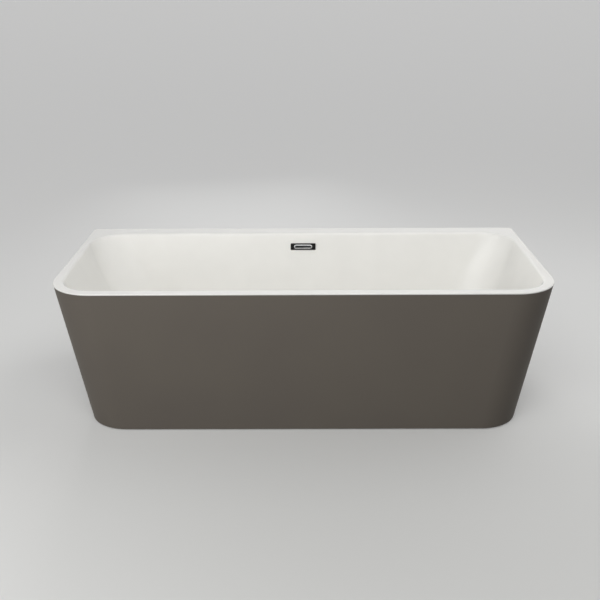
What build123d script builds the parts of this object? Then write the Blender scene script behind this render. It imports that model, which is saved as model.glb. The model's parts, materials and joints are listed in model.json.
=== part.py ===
from build123d import *
from math import cos, hypot, radians, sin, tan
import os

# Semi-freestanding bathtub: a white double-ended basin with a square-cornered wall side and two
# rounded front corners, hung in a tapering skirt that closes the front and the two ends.
# Origin: middle of the footprint on the floor. +X runs along the tub, -Y is the front, +Z is up.

# Overall size
length = 1800.0
width = 800.0
height = 570.0

# Rim
corner_radius = 160.0
rim_thickness = 5.0
rim_edge_radius = 2.2
rim_under_radius = 0.8
rim_inner_radius = 10.0
rim_front = 42.0
rim_rear = 77.0
rim_side_at_front = 36.0
rim_side_at_rear = 25.0

# Basin
shell_thickness = 6.0
floor_level = 146.0
basin_floor_radius = 90.0
rim_corner_front = 122.0
rim_corner_rear = 132.0
floor_corner_front = 150.0
floor_corner_rear = 165.0
side_lean_deg = 9.0
end_lean_top_deg = 19.0
end_lean_low_deg = 31.0
basin_depth_shares = (0.0, 0.25, 0.5, 0.75)

# Skirt
skirt_setback = 1.0
skirt_thickness = 4.0
skirt_inset_front = 63.0
skirt_inset_side = 80.0
skirt_base_corner = 154.0
skirt_top_radius = 1.5
skirt_floor_gap = 5.0
skirt_flange_width = 20.0
skirt_flange_thickness = 4.0
skirt_return_width = 20.0
skirt_return_thickness = 4.0

# Rim battens
batten_height = 24.0
batten_skirt_gap = 2.0
batten_wall_gap = 5.0
batten_basin_gap = 2.0
batten_end_inset = 200.0
batten_edge_radius = 2.0

# Base board under the basin floor
board_thickness = 16.0
board_margin_side = 16.0
board_margin_end = 58.0
board_corner = 60.0
board_slot_clearance = 7.0

# Steel frame
tube_size = 30.0
tube_wall = 2.0
tube_corner = 3.0
rail_inset = 128.0
rail_past_foot = 60.0
cross_inner_share = 0.22
cross_board_inset = 25.0
cap_flange = 3.0
cap_depth = 12.0

# Levelling feet
foot_inner_share = 0.26
foot_outer_share = 0.71
stud_radius = 6.0
stud_top_reach = 16.0
stud_chamfer = 1.5
stud_hex_across = 17.0
stud_hex_height = 8.0
stud_hex_gap = 3.0
pad_radius = 30.0
pad_rim_height = 7.0
pad_boss_radius = 12.0
pad_boss_height = 24.0
pad_sole = 6.0
pad_edge_radius = 2.0
nut_across = 19.0
nut_height = 7.0

# Brackets and clips
steel_sheet = 3.0
steel_bend_radius = 3.0
bracket_width = 40.0
bracket_front_share = 0.47
bracket_side_width = 24.0
bracket_side_overlap = 45.0
bracket_flange_gap = 3.0
bracket_rail_margin = 4.0
clip_share = 0.56
clip_width = 50.0
clip_leg = 34.0
clip_sheet = 2.0
clip_bend_radius = 2.0
clip_batten_margin = 2.0
wall_bracket_share = 0.56
wall_bracket_width = 90.0
wall_bracket_drop = 62.0
wall_bracket_reach = 44.0
wall_hole_radius = 3.5
wall_hole_spacing = 50.0
wall_hole_margin = 20.0

# Screws
screw_radius = 2.5
screw_head_radius = 5.0
screw_head_height = 2.8
screw_bite = 12.0
board_screw_radius = 3.0
board_screw_head_radius = 6.5
board_screw_head_height = 3.5
board_screw_y = 120.0

# Overflow
overflow_drop = 55.6
plate_length = 106.0
plate_height = 28.0
plate_thickness = 6.0
plate_corner = 3.0
plate_edge_radius = 1.2
bezel_length = 77.0
bezel_height = 16.5
bezel_thickness = 3.0
bezel_proud = 1.2
bezel_edge_radius = 1.0
sleeve_wall = 1.75
sleeve_step = 1.75
gasket_thickness = 3.0
overflow_flange = 4.0
overflow_flange_margin = 10.0
overflow_box_margin = 3.0
overflow_box_depth = 40.0
overflow_wall = 2.5
overflow_edge_radius = 3.0
spigot_inset = 17.0
spigot_drop = 34.0

# Overflow hose
hose_radius = 13.5
hose_wall = 2.0
hose_bend = 78.0
hose_nut_length = 22.0
hose_nut_radius = 20.0
hose_nut_sides = 10
stub_wall = 2.5

# Waste
drain_y = 105.0
recess_radius = 38.5
recess_depth = 3.0
waste_hole_clearance = 1.0
flange_radius = 36.0
flange_thickness = 2.5
flange_edge_radius = 1.0
sleeve_radius = 25.0
waste_sleeve_wall = 2.5
sleeve_engagement = 13.0
upper_gasket_thickness = 1.0
hub_radius = 9.0
hub_height = 8.0
spider_arms = 4
spider_arm_width = 4.0
waste_flange_radius = 38.0
waste_flange_thickness = 4.0
collar_height = 15.0
cup_radius = 33.0
cup_wall = 3.0
cup_height = 24.0
stub_reach = 84.0
neck_radius = 20.0
neck_wall = 2.5
neck_length = 71.0

# Drain plug
plug_radius = 30.0
plug_thickness = 3.6
plug_edge_radius = 2.4
seal_outer_radius = 27.0
seal_inner_radius = 14.0
seal_thickness = 1.6
stem_radius = 5.0
stem_length = 34.0

# Trap
nut_neck_gap = 2.0
trap_nut_height = 14.0
trap_nut_radius = 31.0
trap_nut_sides = 12
trap_collar_radius = 27.0
trap_collar_height = 5.0
trap_radius = 50.0
trap_wall = 3.0
trap_height = 60.0
trap_edge_radius = 6.0
outlet_radius = 21.5
outlet_reach = 78.0
outlet_drop = 24.0
outlet_nut_radius = 28.0
outlet_nut_length = 25.0
outlet_nut_sides = 12
pipe_radius = 20.0
pipe_wall = 2.0
pipe_wall_gap = 24.0
pipe_spigot_radius = 18.5
pipe_spigot_length = 20.0
pipe_relief = 2.0

# Fits
running_clearance = 0.05
fit_clearance = 0.2
seat_clearance = 0.3
cut_overrun = 12.0

# Levels and places that follow from the sizes above
half_length = length / 2
half_width = width / 2
basin_depth = height - floor_level
rim_low_z = height - rim_thickness
under_z = floor_level - shell_thickness
board_z = under_z - board_thickness
rail_top_z = board_z
rail_bottom_z = rail_top_z - tube_size
side_slope = tan(radians(side_lean_deg))
end_slope_top = tan(radians(end_lean_top_deg))
end_slope_low = tan(radians(end_lean_low_deg))
side_blend = tan(radians((90 - side_lean_deg) / 2)) * basin_floor_radius
end_blend = tan(radians((90 - end_lean_low_deg) / 2)) * basin_floor_radius
wall_front_y = -half_width + rim_front
wall_rear_y = half_width - rim_rear


def end_inset(depth):
    """How far an end wall has come in at a depth below the rim, and its slope there."""
    slope = end_slope_top + (end_slope_low - end_slope_top) * depth / basin_depth
    return (end_slope_top + slope) / 2 * depth, slope


flat_half_x = half_length - rim_side_at_rear - end_inset(basin_depth)[0] - end_blend
board_half_x = flat_half_x - board_margin_end
flat_front_y = wall_front_y + basin_depth * side_slope + side_blend
flat_rear_y = wall_rear_y - basin_depth * side_slope - side_blend
rail_front_y = -half_width + rail_inset
rail_rear_y = half_width - rail_inset
rail_mid_z = rail_bottom_z + tube_size / 2
foot_inner_x = half_length * foot_inner_share
foot_outer_x = half_length * foot_outer_share
cross_inner_x = half_length * cross_inner_share
cross_outer_x = board_half_x - cross_board_inset
bracket_front_x = half_length * bracket_front_share
clip_x = half_length * clip_share
wall_bracket_x = half_length * wall_bracket_share
rail_half_x = foot_outer_x + rail_past_foot
rail_face_front_y = rail_front_y - tube_size / 2


def cylinder_between(radius, z_low, z_high):
    """Upright cylinder on the Z axis between two levels."""
    return Pos(0, 0, (z_low + z_high) / 2) * Cylinder(radius, z_high - z_low)


def block(x_low, x_high, y_low, y_high, z_low, z_high):
    """Box between two corners."""
    centre = Pos((x_low + x_high) / 2, (y_low + y_high) / 2, (z_low + z_high) / 2)
    return centre * Box(x_high - x_low, y_high - y_low, z_high - z_low)


def plan_face(x_front, x_rear, y_front, y_rear, radius_front, radius_rear, level):
    """Level face with its own half width and corner radius at the front and at the rear."""
    corners = [(-x_front, y_front), (x_front, y_front), (x_rear, y_rear), (-x_rear, y_rear)]
    radii = [radius_front, radius_front, radius_rear, radius_rear]
    outline = FilletPolyline(corners, radius=radii, close=True)
    return Pos(0, 0, level) * make_face(outline)


def prism(points, radii, low, high):
    """Outline in the YZ plane, its corners rounded by radii, made solid along X between two places."""
    face = make_face(Plane.YZ * FilletPolyline(points, radius=radii, close=True))
    return Pos(low, 0, 0) * extrude(face, high - low, dir=(1, 0, 0))


# Basin
def basin_face(depth, grow):
    """Plan of the basin at a depth below the rim, grown outwards by a wall."""
    inset, slope = end_inset(depth)
    share = depth / basin_depth
    end_grow = grow * hypot(1, slope)
    side_grow = grow * hypot(1, side_slope)
    return plan_face(
        half_length - rim_side_at_front - inset + end_grow,
        half_length - rim_side_at_rear - inset + end_grow,
        wall_front_y + depth * side_slope - side_grow,
        wall_rear_y - depth * side_slope + side_grow,
        rim_corner_front + (floor_corner_front - rim_corner_front) * share + grow,
        rim_corner_rear + (floor_corner_rear - rim_corner_rear) * share + grow,
        height - depth,
    )


def basin_solid(top_overrun, grow):
    """The basin's hollow as a solid, with its floor blend, grown outwards by a wall."""
    depths = [basin_depth * share for share in basin_depth_shares]
    depths = [-top_overrun] + depths + [basin_depth + grow] if top_overrun else depths + [basin_depth + grow]
    body = loft([basin_face(depth, grow) for depth in depths])
    floor_edges = body.faces().sort_by(Axis.Z)[0].edges()
    return fillet(floor_edges, basin_floor_radius + grow)


hollow = basin_solid(cut_overrun, 0)
basin_outer = basin_solid(0, shell_thickness)


# Tub shell: a thin flat rim and the basin in one wall
def rim_face(inset, level):
    """Outline of the tub at its rim, drawn in by an inset."""
    return plan_face(
        half_length - inset,
        half_length - inset,
        -half_width + inset,
        half_width - inset,
        corner_radius - inset,
        0,
        level,
    )


rim_blend = rim_inner_radius - shell_thickness
rim_plate = extrude(rim_face(0, rim_low_z), rim_thickness)
rim_plate = fillet(rim_plate.faces().sort_by(Axis.Z)[-1].edges(), rim_edge_radius)
rim_plate = fillet(rim_plate.faces().sort_by(Axis.Z)[0].edges(), rim_under_radius)
shell = rim_plate + basin_outer
rim_underside = shell.faces().filter_by(Axis.Z).sort_by(Axis.Z)[-2]
shell = fillet(rim_underside.inner_wires()[0].edges(), rim_blend) - hollow
shell = fillet(shell.faces().sort_by(Axis.Z)[-1].inner_wires()[0].edges(), rim_inner_radius)
drain = Pos(0, drain_y, 0)
shell -= drain * cylinder_between(recess_radius, floor_level - recess_depth, floor_level + cut_overrun)
hole_radius = sleeve_radius + waste_hole_clearance
shell -= drain * cylinder_between(hole_radius, under_z - cut_overrun, floor_level)

# The overflow sits square to the leaning rear wall, so its pieces are drawn on that wall.
overflow_y = wall_rear_y - overflow_drop * side_slope
lean = radians(side_lean_deg)
on_wall = Plane(
    origin=(0, overflow_y, height - overflow_drop),
    x_dir=(1, 0, 0),
    z_dir=(0, -cos(lean), sin(lean)),
)


def on_wall_plate(sketch, near, far):
    """A sketch on the rear wall made solid between two distances out from the wall's face."""
    return on_wall * (Pos(0, 0, near) * extrude(sketch, far - near))


sleeve_outer_length = bezel_length - 2 * sleeve_step
sleeve_outer_height = bezel_height - 2 * sleeve_step
slot_length = sleeve_outer_length - 2 * sleeve_wall
slot_height = sleeve_outer_height - 2 * sleeve_wall
slot_fit_length = sleeve_outer_length + 2 * seat_clearance
slot_fit_height = sleeve_outer_height + 2 * seat_clearance
slot_fit = SlotOverall(slot_fit_length, slot_fit_height)
shell -= on_wall_plate(slot_fit, -shell_thickness - cut_overrun, cut_overrun)

# Skirt


def skirt_face(level, inset):
    """Outline of the skirt at a level, drawn in by an inset; it runs straight to the wall side."""
    share = (rim_low_z - level) / (rim_low_z - skirt_floor_gap)
    side = skirt_setback + (skirt_inset_side - skirt_setback) * share + inset
    front = skirt_setback + (skirt_inset_front - skirt_setback) * share + inset
    top_radius = corner_radius - skirt_setback
    radius = top_radius + (skirt_base_corner - top_radius) * share - inset
    return side, front, radius


def skirt_inner_y(level):
    """Where the skirt's inner face stands at the front at a level."""
    return -half_width + skirt_face(level, skirt_thickness)[1]


def skirt_solid(low, high, inset, rear_y):
    """The skirt's outline as a tapering solid between two levels."""
    faces = []
    for level in (low, high):
        side, front, radius = skirt_face(level, inset)
        x_half = half_length - side
        faces.append(plan_face(x_half, x_half, -half_width + front, rear_y, radius, 0, level))
    return loft(faces, ruled=True)


flange_top_z = skirt_floor_gap + skirt_flange_thickness
skirt = skirt_solid(skirt_floor_gap, rim_low_z, 0, half_width)
skirt = fillet(skirt.faces().sort_by(Axis.Z)[-1].edges(), skirt_top_radius)
skirt -= skirt_solid(flange_top_z, rim_low_z, skirt_thickness, half_width - skirt_return_thickness)
skirt_return_inset = skirt_thickness + skirt_return_width
skirt_behind = half_width - 2 * skirt_return_thickness
rear_cut = skirt_solid(flange_top_z, rim_low_z, skirt_return_inset, half_width + cut_overrun)
skirt -= rear_cut & block(-half_length, half_length, skirt_behind, half_width + cut_overrun, 0, rim_low_z)
flange_inset = skirt_thickness + skirt_flange_width
skirt -= skirt_solid(skirt_floor_gap, flange_top_z, flange_inset, half_width + cut_overrun)

# Rim battens
batten_z = rim_low_z - batten_height
batten_half = half_length - batten_end_inset
batten_front_low = skirt_inner_y(batten_z) + batten_skirt_gap
wall_grow = shell_thickness * hypot(1, side_slope)
batten_front_high = wall_front_y - wall_grow - rim_blend - batten_basin_gap
batten_rear_low = wall_rear_y + wall_grow + rim_blend + batten_basin_gap
batten_rear_high = half_width - batten_wall_gap


def batten(y_low, y_high):
    """Timber bar glued under the rim."""
    bar = block(-batten_half, batten_half, y_low, y_high, batten_z, rim_low_z)
    return fillet(bar.edges().filter_by(Axis.X).group_by(Axis.Z)[0], batten_edge_radius)


batten_front = batten(batten_front_low, batten_front_high)
batten_rear = batten(batten_rear_low, batten_rear_high)

# Base board
board_front_y = flat_front_y + board_margin_side
board_rear_y = flat_rear_y - board_margin_side
board_slot = cup_radius + board_slot_clearance
board_slot = max(board_slot, waste_flange_radius + board_slot_clearance)
board = extrude(
    plan_face(board_half_x, board_half_x, board_front_y, board_rear_y, board_corner, board_corner, board_z),
    board_thickness,
)
board -= drain * cylinder_between(board_slot, board_z - cut_overrun, under_z + cut_overrun)
board -= block(
    -board_slot,
    board_slot,
    drain_y,
    board_rear_y + cut_overrun,
    board_z - cut_overrun,
    under_z + cut_overrun,
)

# Steel frame: two long rails, the rear one open in the middle, and four cross tubes
tube_outer = RectangleRounded(tube_size, tube_size, tube_corner)
tube_bore = tube_size - 2 * tube_wall
tube_inner = RectangleRounded(tube_bore, tube_bore, tube_corner - tube_wall)
tube_section = tube_outer - tube_inner


def tube_x(x_low, x_high, y):
    """Square tube along X."""
    return Pos(x_low, y, rail_mid_z) * extrude(Plane.YZ * tube_section, x_high - x_low, dir=(1, 0, 0))


def tube_y(y_low, y_high, x):
    """Square tube along Y."""
    return Pos(x, y_low, rail_mid_z) * extrude(Plane.XZ * tube_section, y_high - y_low, dir=(0, 1, 0))


rear_gap_x = cross_inner_x - tube_size / 2
rail_front = tube_x(-rail_half_x, rail_half_x, rail_front_y)
rail_rear_left = tube_x(-rail_half_x, -rear_gap_x, rail_rear_y)
rail_rear_right = tube_x(rear_gap_x, rail_half_x, rail_rear_y)
cross_low = rail_front_y + tube_size / 2
cross_high = rail_rear_y - tube_size / 2
cross_tubes = {
    "frame_cross_outer_left": -cross_outer_x,
    "frame_cross_inner_left": -cross_inner_x,
    "frame_cross_inner_right": cross_inner_x,
    "frame_cross_outer_right": cross_outer_x,
}


def end_cap(x, y, turn):
    """Plastic plug in a rail's open end; turn is 1 for an end that looks along +X."""
    core = tube_bore - 2 * fit_clearance
    face = extrude(Plane.YZ * tube_outer, cap_flange, dir=(1, 0, 0))
    core_face = Plane.YZ * RectangleRounded(core, core, tube_corner - tube_wall)
    plug = extrude(core_face, cap_depth, dir=(-1, 0, 0))
    return Pos(x, y, rail_mid_z) * Rot(0, 0, 0 if turn > 0 else 180) * (face + plug)


end_caps = [
    end_cap(-rail_half_x, rail_front_y, -1),
    end_cap(rail_half_x, rail_front_y, 1),
    end_cap(-rail_half_x, rail_rear_y, -1),
    end_cap(rail_half_x, rail_rear_y, 1),
    end_cap(-rear_gap_x, rail_rear_y, 1),
    end_cap(rear_gap_x, rail_rear_y, -1),
]

# Levelling feet: a threaded stud in a plastic pad, with a lock nut under the rail
foot_x = (-foot_outer_x, -foot_inner_x, foot_inner_x, foot_outer_x)
foot_places = [(x, rail_front_y) for x in foot_x] + [(x, rail_rear_y) for x in foot_x]
stud_hole_radius = stud_radius + running_clearance
stud_holes = [
    Pos(x, y, 0) * cylinder_between(stud_hole_radius, rail_bottom_z - cut_overrun, rail_top_z + cut_overrun)
    for x, y in foot_places
]
for hole in stud_holes:
    rail_front -= hole
    rail_rear_left -= hole
    rail_rear_right -= hole


def hexagon(across, z_low, z_high):
    """Upright hexagonal prism, given by its width across flats."""
    return Pos(0, 0, z_low) * extrude(RegularPolygon(across / 2, 6, major_radius=False), z_high - z_low)


stud_top_z = rail_top_z + stud_top_reach
stud = cylinder_between(stud_radius, pad_sole, stud_top_z)
stud = chamfer(stud.edges().sort_by(Axis.Z)[-1], stud_chamfer)
stud_hex_z = pad_boss_height + stud_hex_gap
stud += hexagon(stud_hex_across, stud_hex_z, stud_hex_z + stud_hex_height)

pad = cylinder_between(pad_radius, 0, pad_rim_height)
pad = fillet(pad.edges().sort_by(Axis.Z)[-1], pad_edge_radius)
pad_cone_height = (pad_boss_height - pad_rim_height) / 2
pad += Pos(0, 0, pad_rim_height + pad_cone_height / 2) * Cone(
    (pad_radius + pad_boss_radius) / 2, pad_boss_radius, pad_cone_height
)
pad += cylinder_between(pad_boss_radius, pad_rim_height, pad_boss_height)
pad -= cylinder_between(stud_radius + fit_clearance, pad_sole, pad_boss_height + cut_overrun)

lock_nut = hexagon(nut_across, rail_bottom_z - nut_height, rail_bottom_z)
lock_nut -= cylinder_between(stud_hole_radius, 0, rail_top_z)
lock_nuts = [Pos(x, y, 0) * lock_nut for x, y in foot_places]

# Screws


def screw(radius, head_radius, head_height, shank):
    """Pan head screw; its head rests on z = 0 from below and its shank points up."""
    head = cylinder_between(head_radius, -head_height, 0)
    return head + cylinder_between(radius, 0, shank)


def sheet_screw(shank):
    """Small screw for brackets and clips."""
    return screw(screw_radius, screw_head_radius, screw_head_height, shank)


screw_hole_radius = screw_radius + fit_clearance
board_hole_radius = board_screw_radius + fit_clearance
board_screw = screw(
    board_screw_radius,
    board_screw_head_radius,
    board_screw_head_height,
    tube_size + board_thickness - board_screw_radius,
)
board_screws = []
board_screw_places = []
for cross_x in cross_tubes.values():
    for screw_y in (-board_screw_y, board_screw_y):
        board_screw_places.append((cross_x, screw_y))
for screw_x, screw_y in board_screw_places:
    board_screws.append(Pos(screw_x, screw_y, rail_bottom_z) * board_screw)
board_screw_hole = cylinder_between(
    board_hole_radius, rail_bottom_z - cut_overrun, under_z - board_screw_radius + fit_clearance
)
crosses = {}
for name, cross_x in cross_tubes.items():
    crosses[name] = tube_y(cross_low, cross_high, cross_x)
for screw_x, screw_y in board_screw_places:
    hole = Pos(screw_x, screw_y, 0) * board_screw_hole
    board -= hole
    for name in crosses:
        crosses[name] -= hole

# Skirt brackets: front ones hang on the front rail, side ones under the rear rails' ends
bracket_screws = []
steel_bend_outer = steel_bend_radius + steel_sheet
side_at_flange, front_at_flange, radius_at_flange = skirt_face(flange_top_z, skirt_thickness)
flange_front_y = -half_width + front_at_flange
tab_front_y = flange_front_y + bracket_flange_gap
tab_top_z = flange_top_z + steel_sheet
plate_front_y = rail_face_front_y - steel_sheet
plate_top_z = rail_top_z - bracket_rail_margin
front_profile = [
    (tab_front_y, flange_top_z),
    (rail_face_front_y, flange_top_z),
    (rail_face_front_y, plate_top_z),
    (plate_front_y, plate_top_z),
    (plate_front_y, tab_top_z),
    (tab_front_y, tab_top_z),
]
front_radii = [0, steel_bend_outer, 0, 0, steel_bend_radius, 0]
front_bracket = prism(front_profile, front_radii, -bracket_width / 2, bracket_width / 2)
tab_screw_y = (tab_front_y + plate_front_y) / 2
tab_hole = cylinder_between(screw_hole_radius, 0, tab_top_z + cut_overrun)
face_hole = Pos(0, rail_face_front_y, rail_mid_z) * Rot(-90, 0, 0) * cylinder_between(
    screw_hole_radius, -cut_overrun, cut_overrun
)
front_bracket -= face_hole
front_bracket -= Pos(0, tab_screw_y, 0) * tab_hole
bracket_names = {
    "skirt_bracket_front_left": -bracket_front_x,
    "skirt_bracket_front_centre": 0,
    "skirt_bracket_front_right": bracket_front_x,
}
tab_screw = Pos(0, 0, tab_top_z) * Rot(180, 0, 0) * sheet_screw(steel_sheet + skirt_flange_thickness)
face_screw = Pos(0, plate_front_y, rail_mid_z) * Rot(-90, 0, 0) * sheet_screw(steel_sheet + screw_bite)
brackets = {}
for name, bracket_x in bracket_names.items():
    brackets[name] = Pos(bracket_x, 0, 0) * front_bracket
    rail_front -= Pos(bracket_x, 0, 0) * face_hole
    skirt -= Pos(bracket_x, tab_screw_y, 0) * tab_hole
    bracket_screws.append(Pos(bracket_x, tab_screw_y, 0) * tab_screw)
    bracket_screws.append(Pos(bracket_x, 0, 0) * face_screw)

flange_side_x = half_length - side_at_flange
tab_out_x = flange_side_x - bracket_flange_gap
flange_inner_x = flange_side_x - skirt_flange_width
web_x = (rail_half_x + cap_flange + flange_inner_x) / 2
strip_top_z = rail_bottom_z
strip_low_z = strip_top_z - steel_sheet
strip_start_x = rail_half_x - bracket_side_overlap
side_profile = [
    (strip_start_x, strip_top_z),
    (web_x + steel_sheet, strip_top_z),
    (web_x + steel_sheet, tab_top_z),
    (tab_out_x, tab_top_z),
    (tab_out_x, flange_top_z),
    (web_x, flange_top_z),
    (web_x, strip_low_z),
    (strip_start_x, strip_low_z),
]
side_radii = [0, steel_bend_outer, steel_bend_radius, 0, 0, steel_bend_outer, steel_bend_radius, 0]
side_face = make_face(Plane.XZ * FilletPolyline(side_profile, radius=side_radii, close=True))
side_bracket = Pos(0, rail_rear_y, 0) * extrude(side_face, bracket_side_width / 2, both=True)
side_screw_x = rail_half_x - cap_depth - screw_head_radius
side_tab_x = (flange_inner_x + tab_out_x) / 2
strip_hole = Pos(side_screw_x, rail_rear_y, 0) * cylinder_between(
    screw_hole_radius, strip_low_z - cut_overrun, strip_top_z + cut_overrun
)
side_tab_hole = Pos(side_tab_x, rail_rear_y, 0) * tab_hole
side_bracket -= strip_hole
side_bracket -= side_tab_hole
strip_screw = Pos(side_screw_x, rail_rear_y, strip_low_z) * sheet_screw(steel_sheet + screw_bite)
rail_rear_right -= strip_hole
rail_rear_left -= mirror(strip_hole, about=Plane.YZ)
side_tab_screw = Pos(side_tab_x, rail_rear_y, 0) * tab_screw
for piece in (side_tab_hole, mirror(side_tab_hole, about=Plane.YZ)):
    skirt -= piece
for piece in (strip_screw, side_tab_screw):
    bracket_screws.append(piece)
    bracket_screws.append(mirror(piece, about=Plane.YZ))
brackets["skirt_bracket_side_right"] = side_bracket
brackets["skirt_bracket_side_left"] = mirror(side_bracket, about=Plane.YZ)

# Skirt clips under the front batten; their long leg lies on the skirt's leaning inner face
batten_screws = []
clip_top_z = batten_z
clip_low_z = clip_top_z - clip_leg
clip_back_y = batten_front_high - clip_batten_margin
clip_profile = [
    (skirt_inner_y(clip_low_z), clip_low_z),
    (skirt_inner_y(clip_low_z) + clip_sheet, clip_low_z),
    (skirt_inner_y(clip_top_z - clip_sheet) + clip_sheet, clip_top_z - clip_sheet),
    (clip_back_y, clip_top_z - clip_sheet),
    (clip_back_y, clip_top_z),
    (skirt_inner_y(clip_top_z), clip_top_z),
]
clip_radii = [0, 0, clip_bend_radius, 0, 0, clip_bend_radius + clip_sheet]
clip = prism(clip_profile, clip_radii, -clip_width / 2, clip_width / 2)
clip_screw_y = clip_back_y - screw_head_radius - fit_clearance
clip_hole = Pos(0, clip_screw_y, clip_top_z) * cylinder_between(screw_hole_radius, -cut_overrun, screw_bite)
clip_screw = Pos(0, clip_screw_y, clip_top_z - clip_sheet) * sheet_screw(clip_sheet + screw_bite)
clip -= clip_hole
clips = []
for place in (-clip_x, 0, clip_x):
    clips.append(Pos(place, 0, 0) * clip)
    batten_front -= Pos(place, 0, 0) * clip_hole
    batten_screws.append(Pos(place, 0, 0) * clip_screw)

# Wall brackets under the rear batten
wall_low_z = batten_z - wall_bracket_drop
wall_profile = [
    (half_width, wall_low_z),
    (half_width, batten_z),
    (half_width - wall_bracket_reach, batten_z),
    (half_width - wall_bracket_reach, batten_z - steel_sheet),
    (half_width - steel_sheet, batten_z - steel_sheet),
    (half_width - steel_sheet, wall_low_z),
]
wall_radii = [0, steel_bend_outer, 0, 0, steel_bend_radius, 0]
wall_bracket = prism(wall_profile, wall_radii, -wall_bracket_width / 2, wall_bracket_width / 2)
wall_hole_z = wall_low_z + wall_hole_margin
wall_screw_y = (batten_rear_low + batten_rear_high) / 2
for side in (-1, 1):
    place_x = side * wall_hole_spacing / 2
    wall_hole = Pos(place_x, half_width, wall_hole_z) * Rot(-90, 0, 0) * cylinder_between(
        wall_hole_radius, -cut_overrun, cut_overrun
    )
    wall_bracket -= wall_hole
    wall_bracket -= Pos(place_x, wall_screw_y, 0) * cylinder_between(
        screw_hole_radius, batten_z - cut_overrun, batten_z + cut_overrun
    )
wall_brackets = {
    "wall_bracket_left": Pos(-wall_bracket_x, 0, 0) * wall_bracket,
    "wall_bracket_right": Pos(wall_bracket_x, 0, 0) * wall_bracket,
}
batten_hole = Pos(0, wall_screw_y, batten_z) * cylinder_between(screw_hole_radius, -cut_overrun, screw_bite)
wall_screw = Pos(0, wall_screw_y, batten_z - steel_sheet) * sheet_screw(steel_sheet + screw_bite)
for bracket_x in (-wall_bracket_x, wall_bracket_x):
    for side in (-1, 1):
        place_x = bracket_x + side * wall_hole_spacing / 2
        batten_rear -= Pos(place_x, 0, 0) * batten_hole
        batten_screws.append(Pos(place_x, 0, 0) * wall_screw)

# Overflow: plate and bezel inside the basin, gasket and body behind its wall
plate = on_wall_plate(RectangleRounded(plate_length, plate_height, plate_corner), 0, plate_thickness)
plate_rim = plate.faces().sort_by(Axis.Y)[0].outer_wire().edges()
plate = fillet(plate_rim, plate_edge_radius)
bezel_seat = plate_thickness + bezel_proud - bezel_thickness
bezel_face = SlotOverall(bezel_length, bezel_height)
bezel_recess = SlotOverall(bezel_length + 2 * seat_clearance, bezel_height + 2 * seat_clearance)
plate -= on_wall_plate(bezel_recess, bezel_seat, plate_thickness + cut_overrun)
plate -= on_wall_plate(slot_fit, -cut_overrun, plate_thickness)
sleeve_reach = shell_thickness + gasket_thickness + overflow_flange
slot_open = SlotOverall(slot_length, slot_height)
bezel = on_wall_plate(bezel_face, bezel_seat, bezel_seat + bezel_thickness)
bezel_rim = bezel.faces().sort_by(Axis.Y)[0].outer_wire().edges()
bezel = fillet(bezel_rim, bezel_edge_radius)
bezel += on_wall_plate(SlotOverall(sleeve_outer_length, sleeve_outer_height), -sleeve_reach, bezel_seat)
bezel -= on_wall_plate(slot_open, -sleeve_reach - cut_overrun, plate_thickness + cut_overrun)
gasket_back = -shell_thickness - gasket_thickness
flange_length = slot_fit_length + 2 * overflow_flange_margin
flange_height = slot_fit_height + 2 * overflow_flange_margin
flange_outline = RectangleRounded(flange_length, flange_height, overflow_edge_radius)
gasket = on_wall_plate(flange_outline - slot_fit, gasket_back, -shell_thickness)
flange_back = gasket_back - overflow_flange
box_length = slot_fit_length + 2 * overflow_box_margin
box_height = slot_fit_height + 2 * overflow_box_margin
box_back = flange_back - overflow_box_depth
box_outline = RectangleRounded(box_length, box_height, overflow_edge_radius)
inner_outline = Rectangle(box_length - 2 * overflow_wall, box_height - 2 * overflow_wall)
spigot_y = overflow_y + (shell_thickness + gasket_thickness + overflow_flange) + spigot_inset
spigot_y += overflow_wall
spigot_top_z = height - overflow_drop
spigot_low_z = spigot_top_z - box_height / 2 - spigot_drop
spigot_place = Pos(0, spigot_y, 0)
overflow_body = on_wall_plate(flange_outline, flange_back, gasket_back)
overflow_body += on_wall_plate(box_outline, box_back, flange_back)
overflow_body += spigot_place * cylinder_between(hose_radius, spigot_low_z, spigot_top_z)
overflow_body -= on_wall_plate(inner_outline, box_back + overflow_wall, flange_back)
overflow_body -= on_wall_plate(slot_fit, flange_back - cut_overrun, gasket_back)
overflow_body -= spigot_place * cylinder_between(
    hose_radius - stub_wall, spigot_low_z - cut_overrun, spigot_top_z
)

# Waste: flange in the basin floor, gaskets, and the body below with its dip tube and hose stub
recess_z = floor_level - recess_depth
flange_low_z = recess_z + upper_gasket_thickness
flange_high_z = flange_low_z + flange_thickness
waste_top_z = under_z - gasket_thickness
sleeve_low_z = waste_top_z - sleeve_engagement
sleeve_bore = sleeve_radius - waste_sleeve_wall
waste_flange = cylinder_between(flange_radius, flange_low_z, flange_high_z)
waste_flange = fillet(waste_flange.edges().sort_by(Axis.Z)[-1], flange_edge_radius)
waste_flange += cylinder_between(sleeve_radius, sleeve_low_z, flange_low_z)
waste_flange -= cylinder_between(sleeve_bore, sleeve_low_z - cut_overrun, flange_high_z + cut_overrun)
hub_low_z = sleeve_low_z + hub_height / 2
for arm in range(spider_arms):
    bar = block(0, sleeve_bore + waste_sleeve_wall / 2, -spider_arm_width / 2, spider_arm_width / 2,
                hub_low_z, hub_low_z + hub_height)
    waste_flange += Rot(0, 0, arm * 360 / spider_arms) * bar
waste_flange += cylinder_between(hub_radius, hub_low_z, hub_low_z + hub_height)
waste_flange -= cylinder_between(stem_radius + running_clearance, hub_low_z - cut_overrun, flange_high_z)
waste_flange = drain * waste_flange
upper_gasket = cylinder_between(flange_radius, recess_z, flange_low_z)
upper_gasket -= cylinder_between(hole_radius, recess_z - cut_overrun, flange_low_z + cut_overrun)
upper_gasket = drain * upper_gasket
lower_gasket = cylinder_between(waste_flange_radius, waste_top_z, under_z)
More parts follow.
